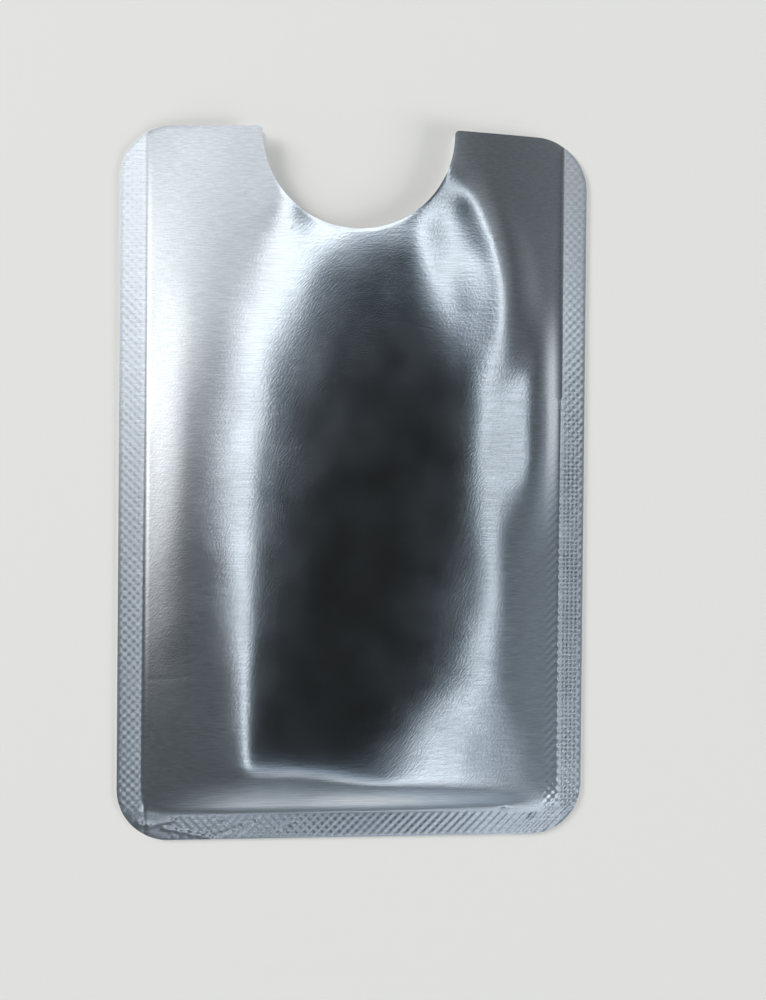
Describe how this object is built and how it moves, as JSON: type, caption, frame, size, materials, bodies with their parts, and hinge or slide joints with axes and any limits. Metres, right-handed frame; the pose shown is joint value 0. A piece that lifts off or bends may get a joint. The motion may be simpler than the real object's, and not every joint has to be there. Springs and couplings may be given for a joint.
{
  "type": "card sleeve",
  "caption": "Flat pocket of foil laminate that shields a payment or identity card, heat-sealed at the sides and bottom and open at the top with a round thumb notch.",
  "frame": {"origin": "middle of the sleeve's back face, where it lies on the table", "axes": "+Y points out of the open mouth, +Z out of the front panel, +X to the right as seen from the front"},
  "size_m": [0.0616, 0.093, 0.0029],
  "materials": {
    "foil": "bare rolled aluminium foil, bright, with a knurled heat-seal emboss",
    "paper_core": "uncoated white paper, seen on the cut edges",
    "sealing_film": "clear polyethylene film over white paper"
  },
  "bodies": {
    "root": {"back_foil": "foil", "back_core": "paper_core", "back_film": "sealing_film", "left_seal": "sealing_film", "right_seal": "sealing_film", "bottom_seal": "sealing_film", "front_film": "sealing_film", "front_core": "paper_core", "front_foil": "foil"}
  },
  "joints": []
}
